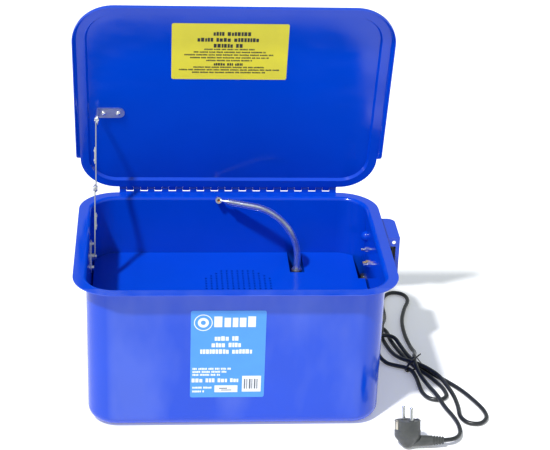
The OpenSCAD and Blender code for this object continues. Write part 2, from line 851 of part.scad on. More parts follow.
// A round hose along the spout's line: up, round the bend, then level
module spout_line(radius, run) {
    top = spout_rise + spout_bend_r;
    translate([0, 0, spout_foot_z]) cylinder(r = radius, h = spout_rise - spout_foot_z);
    translate([spout_bend_r, 0, spout_rise]) rotate([90, 0, 0]) rotate(90)
        rotate_extrude(angle = 90) translate([spout_bend_r, 0]) circle(radius);
    rod_x([spout_bend_r, 0, top], radius, run - spout_bend_r);
}

module swivel_spigot() {
    low = pump_at[2] + pump_size[2] + 65;
    color(brass) translate([riser_at[0], riser_at[1], 0]) difference() {
        union() {
            translate([0, 0, low]) cylinder(r = 5.5, h = spout_foot_z - 1.5 - low);
            translate([0, 0, spout_foot_z - 1.5]) cylinder(r = 7, h = 1.5);
        }
        translate([0, 0, low - 1]) cylinder(r = 2.5, h = 40);
    }
}

module spout_core() {
    color(steel) at_spout() spout_line(3.3, spout_reach - 1);
}

module spout_sleeve() {
    color(clear) at_spout() difference() {
        spout_line(sleeve_r, spout_reach - 6);
        spout_line(3.4, spout_reach);
        translate([0, 0, spout_foot_z - 5]) cylinder(r = 3.4, h = 8);
        rod_x([spout_reach - 10, 0, spout_rise + spout_bend_r], 3.4, 8);
    }
}

module spout_nozzle() {
    top = spout_rise + spout_bend_r;
    tip = 14;
    color(steel) at_spout() translate([spout_reach + 9, 0, top]) difference() {
        union() {
            rod_x([-10, 0, 0], 2, 8);
            rotate([0, 75, 113]) translate([0, 0, -5]) cylinder(r = 4.8, h = 8);
        }
        rotate([0, 75, 113]) translate([0, 0, -2]) cylinder(r = 2.2, h = tip);
    }
}

tank_shell();
hinge_tank_leaf();
hinge_pin();
parts_shelf();
shelf_legs();
pump_body();
pump_strainer();
pump_feet();
pump_outlet();
supply_tube();
swivel_socket();
pump_lead();
lead_gland();
blanking_plug();
switch_box();
box_bolts();
box_nuts();
earth_stud();
box_cover_screw();
switch_bezel();
switch_module();
switch_rocker();
stay_wall_bracket();
bracket_bolts();
bracket_nuts();
stay_lower_rivet();
cord_gland();
strain_relief();
power_cord();
cord_tie();
plug_body();
plug_pins();
plug_earth_clips();
front_label();
lid_shell();
hinge_lid_leaf();
lid_label();
stay_lid_bracket();
lid_bracket_rivets();
stay_upper_rivet();
stay_upper_strip();
fusible_link();
link_rivets();
knee_rivet_head();
stay_lower_strip();
stay_splice();
splice_rivets();
knee_rivet_tail();
swivel_spigot();
spout_core();
spout_sleeve();
spout_nozzle();
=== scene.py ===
"""Looks of a benchtop parts washer: tank, lid and stay, shelf, pump and spout, switch box, mains lead."""

import json
import logging
import math
import random
from collections.abc import Iterable, Sequence
from dataclasses import dataclass, field
from enum import Enum

import bmesh
import bpy
from mathutils import Matrix, Vector


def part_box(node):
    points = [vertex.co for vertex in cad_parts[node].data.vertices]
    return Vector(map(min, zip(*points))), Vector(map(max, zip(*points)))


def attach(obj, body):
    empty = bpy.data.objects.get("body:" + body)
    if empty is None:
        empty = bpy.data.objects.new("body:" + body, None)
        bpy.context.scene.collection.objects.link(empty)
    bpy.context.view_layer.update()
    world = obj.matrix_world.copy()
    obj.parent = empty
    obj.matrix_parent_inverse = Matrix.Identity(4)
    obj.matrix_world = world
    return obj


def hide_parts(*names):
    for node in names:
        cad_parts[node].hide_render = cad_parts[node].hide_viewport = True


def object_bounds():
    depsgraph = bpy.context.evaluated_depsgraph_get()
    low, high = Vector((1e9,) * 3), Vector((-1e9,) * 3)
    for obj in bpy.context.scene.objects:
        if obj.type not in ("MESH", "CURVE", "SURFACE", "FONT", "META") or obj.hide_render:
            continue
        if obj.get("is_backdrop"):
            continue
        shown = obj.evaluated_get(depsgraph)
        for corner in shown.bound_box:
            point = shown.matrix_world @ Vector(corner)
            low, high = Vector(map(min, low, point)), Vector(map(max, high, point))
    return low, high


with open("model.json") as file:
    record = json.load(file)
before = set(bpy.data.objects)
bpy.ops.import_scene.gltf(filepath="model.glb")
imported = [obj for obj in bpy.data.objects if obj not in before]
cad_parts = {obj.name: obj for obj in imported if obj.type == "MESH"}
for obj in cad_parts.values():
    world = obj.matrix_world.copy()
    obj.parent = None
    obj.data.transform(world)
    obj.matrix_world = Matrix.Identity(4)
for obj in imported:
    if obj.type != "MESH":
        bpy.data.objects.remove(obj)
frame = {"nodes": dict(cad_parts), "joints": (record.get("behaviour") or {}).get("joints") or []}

LOG = logging.getLogger("parts_washer")
MM = 0.001
Colour = tuple[float, float, float]
Box = tuple[float, float, float, float]


class Body(Enum):
    """Bodies of the model that a piece can ride on."""

    TANK = "tank"
    LID = "lid"
    SPOUT = "spout"


class Slot(Enum):
    """Finish slots of the record."""

    ENAMEL = "blue_enamel"
    ZINC = "zinc_steel"
    BLACK_PLASTIC = "black_plastic"
    RUBBER = "black_rubber"
    BRASS = "brass"
    PVC = "clear_pvc"
    SPIRAL = "spiral_steel"
    CHROME = "bright_chrome"
    CLIP = "nickel_clip"
    ROCKER = "brown_rocker"
    PLUG = "grey_plug"
    TIE = "cable_tie"
    BLUE_LABEL = "blue_label"
    YELLOW_LABEL = "yellow_label"


# ---- Shader maths ----


@dataclass(frozen=True)
class Value:
    """A number that comes out of a shader socket, with arithmetic that adds Math nodes."""

    shader: "Shader"
    socket: bpy.types.NodeSocket

    def _math(self, operation: str, other: "float | Value") -> "Value":
        """Adds a Math node on this value.

        Args:
            operation: the Math node's operation.
            other: the second operand.

        Returns:
            The node's result.
        """
        return self.shader.node("ShaderNodeMath", {"operation": operation}, {0: self, 1: other})

    def __add__(self, other: "float | Value") -> "Value":
        """Sum."""
        return self._math("ADD", other)

    def __radd__(self, other: "float | Value") -> "Value":
        """Sum, the other way round."""
        return self._math("ADD", other)

    def __sub__(self, other: "float | Value") -> "Value":
        """Difference."""
        return self._math("SUBTRACT", other)

    def __mul__(self, other: "float | Value") -> "Value":
        """Product."""
        return self._math("MULTIPLY", other)

    def __rmul__(self, other: "float | Value") -> "Value":
        """Product, the other way round."""
        return self._math("MULTIPLY", other)


class Shader:
    """One material's node tree around a Principled shader."""

    def __init__(self, name: str) -> None:
        """Starts a material.

        Args:
            name: the material's name.
        """
        self.material = bpy.data.materials.new(name)
        self.material.use_nodes = True
        self.tree = self.material.node_tree
        self.principled = self.tree.nodes["Principled BSDF"]

    def node(
        self,
        kind: str,
        settings: dict[str, object] | None = None,
        sockets: dict[str | int, object] | None = None,
        out: str | int = 0,
    ) -> Value:
        """Adds any node.

        Args:
            kind: the node's type.
            settings: its properties.
            sockets: values or links of its inputs by name or number.
            out: the output to return.

        Returns:
            That output.
        """
        made = self.tree.nodes.new(kind)
        for key, value in (settings or {}).items():
            setattr(made, key, value)
        for key, value in (sockets or {}).items():
            self.feed(made.inputs[key], value)
        return Value(self, made.outputs[out])

    def feed(self, target: bpy.types.NodeSocket, value: object) -> None:
        """Sets a socket, or links a value to it.

        Args:
            target: the input socket.
            value: a number, a colour, a vector or a Value.
        """
        if isinstance(value, Value):
            self.tree.links.new(value.socket, target)
        elif hasattr(target.default_value, "__len__") and len(target.default_value) == 4:
            target.default_value = (*tuple(value)[:3], 1.0)
        else:
            target.default_value = value

    def place(self, stretch: Sequence[float] = (1, 1, 1), turn: Sequence[float] = (0, 0, 0)) -> Value:
        """Object coordinates, stretched and turned.

        Args:
            stretch: scale along each axis.
            turn: rotation about each axis, in radians.

        Returns:
            The coordinates.
        """
        at = self.node("ShaderNodeTexCoord", out="Object")
        return self.node("ShaderNodeMapping", {}, {"Vector": at, "Scale": stretch, "Rotation": turn})

    def noise(self, at: Value, scale: float, detail: float = 2.0, rough: float = 0.5) -> Value:
        """Noise from 0 to 1 at a place.

        Args:
            at: coordinates.
            scale: features per metre.
            detail: octaves.
            rough: how strong the fine octaves are.

        Returns:
            The noise.
        """
        return self.node(
            "ShaderNodeTexNoise",
            {},
            {"Vector": at, "Scale": scale, "Detail": detail, "Roughness": rough},
        )

    def remap(self, value: Value, low: float, high: float, to_low: float, to_high: float) -> Value:
        """A value carried from one range to another and held inside it.

        Args:
            value: the value.
            low: start of its range.
            high: end of its range.
            to_low: result at the start.
            to_high: result at the end.

        Returns:
            The result.
        """
        return self.node(
            "ShaderNodeMapRange",
            {},
            {0: value, 1: low, 2: high, 3: to_low, 4: to_high},
        )

    def mix(self, factor: "float | Value", first: object, second: object) -> Value:
        """A colour between two.

        Args:
            factor: 0 for the first, 1 for the second.
            first: a colour.
            second: a colour.

        Returns:
            The mixed colour.
        """
        return self.node(
            "ShaderNodeMix",
            {"data_type": "RGBA"},
            {0: factor, 6: first, 7: second},
            out=2,
        )

    def bump(self, height: Value, strength: float, distance: float, under: Value | None = None) -> Value:
        """A bump normal.

        Args:
            height: the height, 0 to 1.
            strength: how strong it is, 0 to 1.
            distance: the height of 1 in metres.
            under: another bump below it.

        Returns:
            The normal.
        """
        sockets: dict[str | int, object] = {
            "Height": height,
            "Strength": strength,
            "Distance": distance,
        }
        if under is not None:
            sockets["Normal"] = under
        return self.node("ShaderNodeBump", {}, sockets)

    def surface(self, **sockets: object) -> bpy.types.Material:
        """Sets the Principled shader's sockets by name, with _ for a space.

        Args:
            sockets: values or links.

        Returns:
            The finished material.
        """
        for key, value in sockets.items():
            self.feed(self.principled.inputs[key.replace("_", " ")], value)
        return self.material


# ---- Finishes ----

# From the outside to the inside of the front sheet, along y: the painted pale reflection stays on the
# outside face.
FRONT_SKIN = (-0.147, -0.145)


@dataclass(frozen=True)
class Finish:
    """A named finish. Each kind makes its own material."""

    name: str
    slot: Slot

    def material(self) -> bpy.types.Material:
        """Makes the material once and finds it again later."""
        name = f"finish_{self.name}"
        return bpy.data.materials.get(name) or self.make(Shader(name))

    def make(self, shader: Shader) -> bpy.types.Material:
        """Builds the nodes."""
        raise NotImplementedError


@dataclass(frozen=True)
class Enamel(Finish):
    """Glossy baked enamel with orange peel, over sheet that is a little wavy; on the front sheet's
    outside face it can carry painted pale reflection streaks.
    """

    colour: Colour = (0.0, 0.058, 0.60)
    wave: float = 0.0006
    wave_scale: float = 9.0
    peel: float = 0.00002
    # Strength of the painted pale reflection streaks on the front sheet's outside face.
    reflection_haze: float = 0.0

    def make(self, shader: Shader) -> bpy.types.Material:
        """Builds the enamel's nodes."""
        at = shader.place()
        cloud = shader.noise(at, 7.0, 3.0, 0.55)
        deep = tuple(0.93 * c for c in self.colour)
        colour = shader.mix(shader.remap(cloud, 0.35, 0.65, 0.0, 1.0), deep, self.colour)
        dust = shader.remap(shader.noise(at, 420.0, 4.0, 0.7), 0.68, 0.8, 0.0, 0.04)
        colour = shader.mix(dust, colour, (0.25, 0.32, 0.75))
        # Painted reflection: pale streaks, standing in for the white floor and sky reflected in the
        # gloss, mixed into the front sheet's outside face.
        drift = shader.noise(shader.place((1.0, 1.0, 0.45), (0.0, 0.5, 0.0)), 11.0, 3.0, 0.55)
        depth = shader.node("ShaderNodeSeparateXYZ", {}, {0: at}, out="Y")
        outside = shader.remap(depth, *FRONT_SKIN, 1, 0)
        painted_reflection = outside * shader.remap(drift, 0.42, 0.68, 0.0, self.reflection_haze)
        colour = shader.mix(painted_reflection, colour, (0.5, 0.6, 0.85))
        smear = shader.noise(shader.place((1.0, 1.0, 2.6), (0.3, 0.2, 0.1)), 16.0, 4.0, 0.6)
        rough = shader.remap(smear, 0.35, 0.7, 0.09, 0.2)
        broad = shader.bump(shader.noise(at, self.wave_scale, 1.0, 0.4), 1.0, self.wave)
        peel = shader.bump(shader.noise(at, 520.0, 2.0, 0.5), 1.0, self.peel, broad)
        return shader.surface(Base_Color=colour, Roughness=rough, Normal=peel, IOR=1.5)


@dataclass(frozen=True)
class Metal(Finish):
    """A bare or plated metal with drawn lines, stains and fine scratches."""

    colour: Colour = (0.74, 0.75, 0.76)
    stain: Colour = (0.52, 0.53, 0.55)
    rough: float = 0.28
    lines: tuple[float, float, float] = (0.2, 1.0, 1.0)
    relief: float = 0.000015

    def make(self, shader: Shader) -> bpy.types.Material:
        """Builds the metal's nodes."""
        at = shader.place()
        patch = shader.remap(shader.noise(at, 70.0, 4.0, 0.6), 0.42, 0.68, 0.0, 0.8)
        drawn = shader.noise(shader.place(self.lines), 1500.0, 3.0, 0.6)
        colour = shader.mix(patch, self.colour, self.stain)
        rough = self.rough + 0.14 * drawn + 0.12 * patch
        normal = shader.bump(drawn, 0.7, self.relief)
        return shader.surface(Base_Color=colour, Metallic=1.0, Roughness=rough, Normal=normal)


@dataclass(frozen=True)
class Moulded(Finish):
    """Moulded plastic or rubber: fine spark-eroded grain with rubbed, glossier patches."""

    colour: Colour = (0.02, 0.02, 0.022)
    rubbed: Colour = (0.045, 0.045, 0.048)
    rough: float = 0.45
    grain: float = 1400.0
    relief: float = 0.00003

    def make(self, shader: Shader) -> bpy.types.Material:
        """Builds the plastic's nodes."""
        at = shader.place()
        patch = shader.remap(shader.noise(at, 55.0, 4.0, 0.65), 0.4, 0.7, 0.0, 1.0)
        grain = shader.noise(at, self.grain, 2.0, 0.5)
        colour = shader.mix(0.55 * patch, self.colour, self.rubbed)
        rough = self.rough + 0.1 * grain - 0.12 * patch
        return shader.surface(
            Base_Color=colour, Roughness=rough, Normal=shader.bump(grain, 0.6, self.relief)
        )


@dataclass(frozen=True)
class ClearTube(Finish):
    """Clear flexible PVC, slightly hazy."""

    colour: Colour = (0.90, 0.92, 0.95)

    def make(self, shader: Shader) -> bpy.types.Material:
        """Builds the tube's nodes."""
        reflection_haze = shader.noise(shader.place(), 90.0, 3.0, 0.6)
        rough = shader.remap(reflection_haze, 0.35, 0.7, 0.03, 0.14)
        ripple = shader.bump(shader.noise(shader.place(), 260.0, 1.0, 0.5), 0.5, 0.00008)
        return shader.surface(
            Base_Color=self.colour,
            Roughness=rough,
            Normal=ripple,
            Transmission_Weight=0.97,
            IOR=1.38,
        )


@dataclass(frozen=True)
class Film(Finish):
    """Printed label film: smooth, with faint mottling and small creases."""

    colour: Colour = (0.84, 0.74, 0.04)

    def make(self, shader: Shader) -> bpy.types.Material:
        """Builds the film's nodes."""
        at = shader.place()
        mottle = shader.remap(shader.noise(at, 40.0, 5.0, 0.6), 0.35, 0.7, 0.0, 1.0)
        colour = shader.mix(0.35 * mottle, self.colour, tuple(0.82 * c for c in self.colour))
        rough = 0.3 + 0.16 * mottle
        crease = shader.bump(shader.noise(at, 22.0, 2.0, 0.5), 0.6, 0.0003)
        return shader.surface(Base_Color=colour, Roughness=rough, Normal=crease)


@dataclass(frozen=True)
class Backdrop(Finish):
    """Pale studio floor."""

    def make(self, shader: Shader) -> bpy.types.Material:
        """Builds the floor's nodes."""
        soft = shader.noise(shader.place(), 1.6, 2.0, 0.5)
        colour = shader.mix(soft, (0.90, 0.90, 0.91), (0.93, 0.93, 0.93))
        return shader.surface(
            Base_Color=colour, Roughness=0.85, Emission_Color=(1.0, 1.0, 1.0), Emission_Strength=0.22
        )


# The tank's pressing gets painted pale reflection streaks on its front face.
ENAMEL = Enamel("enamel_pressing", Slot.ENAMEL, reflection_haze=0.09)
ENAMEL_LID = Enamel("enamel_lid", Slot.ENAMEL, wave=0.0007, wave_scale=11.0)
ENAMEL_PARTS = Enamel("enamel_small_parts", Slot.ENAMEL, wave=0.0001, wave_scale=30.0)
ZINC = Metal("zinc_plate", Slot.ZINC)
BRIGHT_ZINC = Metal("zinc_bright", Slot.ZINC, (0.90, 0.90, 0.89), (0.74, 0.74, 0.72), 0.14)
STAY_ZINC = Metal("zinc_strip", Slot.ZINC, lines=(1.0, 1.0, 0.2), rough=0.22)
BRASS = Metal("brass_turned", Slot.BRASS, (0.70, 0.50, 0.22), (0.42, 0.29, 0.13), 0.3)
SPIRAL = Metal("spiral_steel", Slot.SPIRAL, (0.80, 0.81, 0.84), (0.50, 0.51, 0.54), 0.2)
CHROME = Metal("nickel_bright", Slot.CHROME, (0.88, 0.88, 0.87), (0.72, 0.71, 0.69), 0.1)
NICKELLED = Metal("nickelled_brass", Slot.BRASS, (0.76, 0.74, 0.68), (0.58, 0.55, 0.47), 0.2)
TINNED = Metal("tinned_link", Slot.BRASS, (0.70, 0.70, 0.68), (0.52, 0.50, 0.45), 0.34)
CLIP = Metal("nickel_strip", Slot.CLIP, (0.72, 0.66, 0.48), (0.5, 0.44, 0.3), 0.28)
JET = Metal("copper_jet", Slot.BRASS, (0.62, 0.24, 0.08), (0.3, 0.1, 0.04), 0.35)
BLACK = Moulded("black_moulding", Slot.BLACK_PLASTIC, (0.009, 0.009, 0.010), (0.022, 0.022, 0.024))
RUBBER = Moulded("black_rubber", Slot.RUBBER, (0.013, 0.014, 0.016), (0.03, 0.032, 0.035), 0.36)
LEAD = Moulded("lead_jacket", Slot.RUBBER, (0.016, 0.018, 0.02), (0.04, 0.043, 0.046), 0.3, 700.0)
PLUG_GREY = Moulded("plug_grey", Slot.PLUG, (0.055, 0.058, 0.058), (0.10, 0.103, 0.10), 0.4)
TIE = Moulded("tie_strip", Slot.TIE, (0.02, 0.02, 0.022), (0.05, 0.05, 0.05), 0.4)
ROCKER_BROWN = Moulded("rocker_cap", Slot.ROCKER, (0.035, 0.022, 0.016), (0.07, 0.05, 0.04), 0.2)
PVC = ClearTube("clear_pvc", Slot.PVC)
YELLOW_FILM = Film("yellow_film", Slot.YELLOW_LABEL)
YELLOW_INK = Film("ink_black", Slot.YELLOW_LABEL, (0.03, 0.03, 0.02))
BLUE_FILM = Film("light_blue_film", Slot.BLUE_LABEL, (0.065, 0.30, 0.82))
WHITE_INK = Film("ink_white", Slot.BLUE_LABEL, (0.85, 0.87, 0.9))
GREY_INK = Film("ink_grey", Slot.BLUE_LABEL, (0.12, 0.13, 0.16))
FLOOR = Backdrop("studio_floor", Slot.ENAMEL)


# ---- Making pieces ----


def mesh_piece(
    name: str, shape: bmesh.types.BMesh, finish: Finish, smooth: float = 35.0
) -> bpy.types.Object:
    """Turns a bmesh into a finished object at the origin.

    Args:
        name: the piece's name.
        shape: its mesh, freed here.
        finish: its finish.
        smooth: edges sharper than this many degrees stay sharp.

    Returns:
        The object.
    """
    bmesh.ops.remove_doubles(shape, verts=shape.verts, dist=1e-6)
    bmesh.ops.recalc_face_normals(shape, faces=shape.faces)
    mesh = bpy.data.meshes.new(name)
    shape.to_mesh(mesh)
    shape.free()
    for face in mesh.polygons:
        face.use_smooth = True
    mesh.set_sharp_from_angle(angle=math.radians(smooth))
    mesh.materials.append(finish.material())
    piece = bpy.data.objects.new(name, mesh)
    bpy.context.scene.collection.objects.link(piece)
    return piece


def settle(piece: bpy.types.Object, body: Body, finish: Finish, *nodes: str) -> bpy.types.Object:
    """Puts a piece on its body and hides the CAD nodes it replaces.

    Args:
        piece: the object.
        body: the body it rides on.
        finish: not used.
        nodes: CAD nodes it replaces.

    Returns:
        The piece.
    """
    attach(piece, body.value)
    if nodes:
        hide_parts(*nodes)
    LOG.info("piece %s on %s", piece.name, body.value)
    return piece


def dress(finish: Finish, *nodes: str) -> None:
    """Gives CAD nodes a finish.

    Args:
        finish: the finish.
        nodes: the nodes' names.
    """
    for name in nodes:
        mesh = frame["nodes"][name].data
        mesh.materials.clear()
        mesh.materials.append(finish.material())
        LOG.info("node %s in %s", name, finish.name)


def joint(name: str) -> dict[str, object]:
    """The record's entry for a joint."""
    return next(j for j in frame["joints"] if j["name"] == name)


def node_box(name: str, into: Matrix) -> tuple[Vector, Vector]:
    """A node's box in another frame.

    Args:
        name: the node.
        into: the matrix that carries a point of the model into that frame.

    Returns:
        Its lowest and highest corners there.
    """
    points = [into @ v.co for v in frame["nodes"][name].data.vertices]
    low = Vector([min(p[k] for p in points) for k in range(3)])
    high = Vector([max(p[k] for p in points) for k in range(3)])
    return low, high


def lathe(
    shape: bmesh.types.BMesh, profile: Sequence[tuple[float, float]], place: Matrix, sides: int = 40
) -> None:
    """Adds a turned form: a profile of (radius, height) pairs, closed at both ends.

    Args:
        shape: the bmesh.
        profile: the pairs, from one end to the other.
        place: the frame whose z is the axis.
        sides: its number of sides.
    """
    verts = [shape.verts.new(place @ Vector((r, 0, z))) for r, z in profile]
    edges = [shape.edges.new(pair) for pair in zip(verts, verts[1:])]
    axis = (place.to_3x3() @ Vector((0, 0, 1))).normalized()
    bmesh.ops.spin(
        shape,
        geom=verts + edges,
        cent=place.translation,
        axis=axis,
        angle=math.tau,
        steps=sides,
        use_merge=True,
    )
    bmesh.ops.remove_doubles(shape, verts=shape.verts, dist=1e-6)
    open_edges = [e for e in shape.edges if e.is_boundary]
    bmesh.ops.holes_fill(shape, edges=open_edges, sides=0)


def sweep(
    shape: bmesh.types.BMesh, path: Sequence[Vector], radii: Sequence[float], sides: int
) -> None:
    """Adds a round tube with its own radius at each point of a path.

    Args:
        shape: the bmesh.
        path: the points.
        radii: the radius at each point.
        sides: its number of sides.
    """
    rings: list[list[bmesh.types.BMEdge]] = []
    side = Vector((0, 1, 0))
    for i, (point, radius) in enumerate(zip(path, radii)):
        ahead = path[min(i + 1, len(path) - 1)] - path[max(i - 1, 0)]
        axis = ahead.normalized()
        side = (side - side.dot(axis) * axis).normalized()
        turn = Matrix((side, axis.cross(side), axis)).transposed().to_4x4()
        made = bmesh.ops.create_circle(
            shape, cap_ends=False, radius=radius, segments=sides, matrix=Matrix.Translation(point) @ turn
        )
        verts = made["verts"]
        rings.append([e for e in {e for v in verts for e in v.link_edges}])
    for first, second in zip(rings, rings[1:]):
        bmesh.ops.bridge_loops(shape, edges=first + second)
    for end in (rings[0], rings[-1]):
        bmesh.ops.holes_fill(shape, edges=[e for e in end if e.is_boundary], sides=0)


def slab(shape: bmesh.types.BMesh, low: Vector, high: Vector, place: Matrix) -> None:
    """Adds a thin box between two corners in a frame.

    Args:
        shape: the bmesh.
        low: one corner.
        high: the other.
        place: the frame.
    """
    size = high - low
    fit = place @ Matrix.Translation((low + high) / 2) @ Matrix.Diagonal((*size, 1.0))
    bmesh.ops.create_cube(shape, size=1.0, matrix=fit)


def rounded_sheet(
    shape: bmesh.types.BMesh, low: Vector, high: Vector, radius: float, place: Matrix
) -> None:
    """Adds a thin rectangular film with round corners, its thickness along z of its frame.

    Args:
        shape: the bmesh.
        low: lowest corner in the frame.
        high: highest corner in the frame.
        radius: corner radius.
        place: the frame.
    """
    size = high - low
    made = bmesh.ops.create_cube(
        shape,
        size=1.0,
        matrix=Matrix.Translation((low + high) / 2) @ Matrix.Diagonal((*size, 1.0)),
    )
    upright = {
        e for v in made["verts"] for e in v.link_edges
        if abs((e.verts[0].co - e.verts[1].co).z) > 0.5 * size.z
    }
    rounded = bmesh.ops.bevel(
        shape, geom=list(upright), offset=radius, affect="EDGES", segments=6, profile=0.5, material=-1
    )
    verts = {v for v in made["verts"] if v.is_valid} | {v for v in rounded["verts"] if v.is_valid}
    bmesh.ops.transform(shape, matrix=place, verts=list(verts))


def smooth_path(points: Sequence[Vector], per_span: int) -> list[Vector]:
    """Points on the smooth curve through given points.

    Args:
        points: the points it passes.
        per_span: how many steps each span gets.

    Returns:
        The finer points.
    """
    ends = [points[0] * 2 - points[1], *points, points[-1] * 2 - points[-2]]
    fine: list[Vector] = []
    for a, b, c, d in zip(ends, ends[1:], ends[2:], ends[3:]):
        for k in range(per_span):
            t = k / per_span
            fine.append(
                0.5
                * (
                    2 * b
                    + (c - a) * t
                    + (2 * a - 5 * b + 4 * c - d) * t**2
                    + (3 * b - a - 3 * c + d) * t**3
                )
            )
    fine.append(points[-1].copy())
    return fine


def round_curve(name: str, points: Sequence[Vector], radius: float, finish: Finish) -> bpy.types.Object:
    """A round cord as a curve of one open spline.

    Args:
        name: its name.
        points: the points of its centreline.
        radius: its radius.
        finish: its finish.

    Returns:
        The curve object.
    """
    curve = bpy.data.curves.new(name, "CURVE")
    curve.dimensions = "3D"
    curve.bevel_depth = radius
    curve.bevel_resolution = 4
    curve.use_fill_caps = True
    spline = curve.splines.new("POLY")
    spline.points.add(len(points) - 1)
    for target, point in zip(spline.points, points):
        target.co = (*point, 1.0)
    spline.use_smooth = True
    curve.materials.append(finish.material())
    cord = bpy.data.objects.new(name, curve)
    bpy.context.scene.collection.objects.link(cord)
    return cord


# ---- Studio ----


@dataclass
class Studio:
    """Camera, floor and lights."""

    place: Vector = field(default_factory=lambda: Vector((-0.1164, -2.0269, 1.2352)))
    heading: float = math.radians(4.96)
    dip: float = math.radians(25.91)
    roll: float = math.radians(2.20)
    lens: float = 103.14
    sun_travel: Vector = field(default_factory=lambda: Vector((0.45, 0.47, -1.0)))
    sun_strength: float = 3.35
    sun_angle: float = math.radians(4.0)
    sky: float = 0.5
    sky_colour: Colour = (0.90, 0.98, 1.0)
    floor_size: float = 80.0
    far: float = 200.0

    def build(self) -> None:
        """Makes the camera, the floor and the lights."""
        self.camera()
        self.floor()
        self.lights()
        bpy.context.scene.view_settings.view_transform = "Standard"

    def camera(self) -> None:
        """Makes the camera and makes it the scene's."""
        data = bpy.data.cameras.new("camera")
        data.lens = self.lens
        data.sensor_width = 36.0
        data.clip_end = self.far
        camera = bpy.data.objects.new("camera", data)
        bpy.context.scene.collection.objects.link(camera)
        ahead = Vector(
            (
                math.sin(self.heading) * math.cos(self.dip),
                math.cos(self.heading) * math.cos(self.dip),
                -math.sin(self.dip),
            )
        )
        right = Vector((math.cos(self.heading), -math.sin(self.heading), 0.0))
        up = right.cross(ahead)
        level_right = math.cos(self.roll) * right + math.sin(self.roll) * up
        level_up = -math.sin(self.roll) * right + math.cos(self.roll) * up
        turn = Matrix((level_right, level_up, -ahead)).transposed().to_4x4()
        camera.matrix_world = Matrix.Translation(self.place) @ turn
        bpy.context.scene.camera = camera

    def floor(self) -> None:
        """Makes the pale floor."""
        shape = bmesh.new()
        bmesh.ops.create_grid(shape, x_segments=8, y_segments=8, size=self.floor_size)
        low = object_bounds()[0]
        bmesh.ops.translate(shape, vec=Vector((0, 0, min(0.0, low[2]) - 0.0002)), verts=shape.verts)
        mesh_piece("studio_floor", shape, FLOOR)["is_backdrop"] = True

    def lights(self) -> None:
        """Makes the sky and one key light from the front left."""
        world = bpy.data.worlds.new("studio_sky")
        world.use_nodes = True
        background = world.node_tree.nodes["Background"]
        background.inputs["Color"].default_value = (*self.sky_colour, 1.0)
        background.inputs["Strength"].default_value = self.sky
        bpy.context.scene.world = world
        key = bpy.data.lights.new("key", "SUN")
        key.energy = self.sun_strength
        key.angle = self.sun_angle
        lamp = bpy.data.objects.new("key", key)
        lamp.rotation_euler = self.sun_travel.to_track_quat("-Z", "Y").to_euler()
        bpy.context.scene.collection.objects.link(lamp)


# ---- Mains lead ----

LEAD_ROUTE = [
    (226, 60, 108), (226, 60, 82), (226, 57, 54), (226, 49, 28), (229, 35, 10),
    (239, 21, 3.8), (253, 12, 3.6), (266, 5, 4.2), (275, -6, 4.2), (279, -24, 3.4),
    (280, -46, 3.4), (282, -66, 3.4), (290, -81, 3.4), (305, -85, 3.4), (316, -74, 3.4),
    (314, -53, 3.4), (307, -36, 3.4), (299, -20, 3.5), (290, -7, 4.2), (281, 7, 4.4),
    (272, 29, 3.4), (262, 60, 3.4), (255, 90, 3.4), (253, 111, 3.4), (247, 126, 3.4),
    (234, 133, 3.4), (219, 128, 3.4), (212, 114, 3.4), (217, 98, 4.6), (231, 90, 8.6),
    (246, 91, 10.8), (260, 85, 10), (268, 68, 5), (275, 44, 3.4), (283, 21, 4.4),
    (292, 4, 4.4), (305, -13, 3.4), (323, -34, 3.4), (341, -60, 3.4), (355, -89, 3.4),
    (364, -115, 3.4), (364, -135, 3.4), (352, -149, 3.4), (335, -146, 3.4), (327, -129, 3.4),
    (328, -104, 3.4), (327, -76, 3.4), (322, -50, 4), (312, -28, 9.2), (296, -7, 11.2),
    (278, 10, 11), (263, 27, 7), (253, 49, 3.6), (246, 75, 3.4), (243, 98, 4),
    (244, 113, 8.6), (247, 127, 10.8), (252, 144, 8), (256, 170, 3.6), (257, 203, 3.4),
    (264, 231, 3.4), (279, 244, 3.4), (296, 238, 3.4), (301, 218, 3.4), (291, 188, 3.4),
    (282, 150, 3.4), (280, 108, 3.4), (283, 68, 4.2), (285, 40, 10.6), (281, 17, 17.6),
    (279, -4, 17.4), (283, -28, 12.4), (291, -56, 10.4), (300, -84, 10.4), (308, -106, 5),
    (316, -129, 3.4), (320, -152, 4), (318, -177, 5), (306, -195, 8.6), (286, -202, 10.7),
]

PUMP_ROUTE = [
    (135, 85, 30), (149, 85, 30.5), (163, 86, 36), (172, 87, 50), (176, 88, 68),
    (180, 88, 86), (187, 88, 101), (197, 88, 110), (207, 88, 112), (217, 88, 113),
    (229, 88, 118.5), (236, 88, 130), (238, 88, 142), (238, 88, 150),
]


# The plug's foot, and its profile as (radius, height) pairs from its cone to its face.
PLUG_AT = (0.239, -0.202, 0.0107)
PLUG_LEAN = math.radians(-24)
PLUG_PROFILE = [
    (0.0, 0.0), (0.0050, 0.0), (0.0060, 0.0005), (0.0100, 0.0051), (0.0172, 0.0138),
    (0.0181, 0.0154), (0.0184, 0.0176), (0.0184, 0.0240), (0.0179, 0.0246),
    (0.0179, 0.0364), (0.0184, 0.0369), (0.0184, 0.0374), (0.0178, 0.0380),
    (0.0156, 0.0380), (0.0153, 0.0376), (0.0, 0.0376),
]
PIN_TURN = math.radians(-65)
PIN_SPACING = 0.019
COLLAR_PROFILE = [
    (0.0, 0.0370), (0.0042, 0.0370), (0.0042, 0.0381), (0.0038, 0.0385), (0.0, 0.0385),
]
STEM_HEIGHT = 0.009
STEM_PLAIN = 0.035
STEM_LENGTH = 0.051


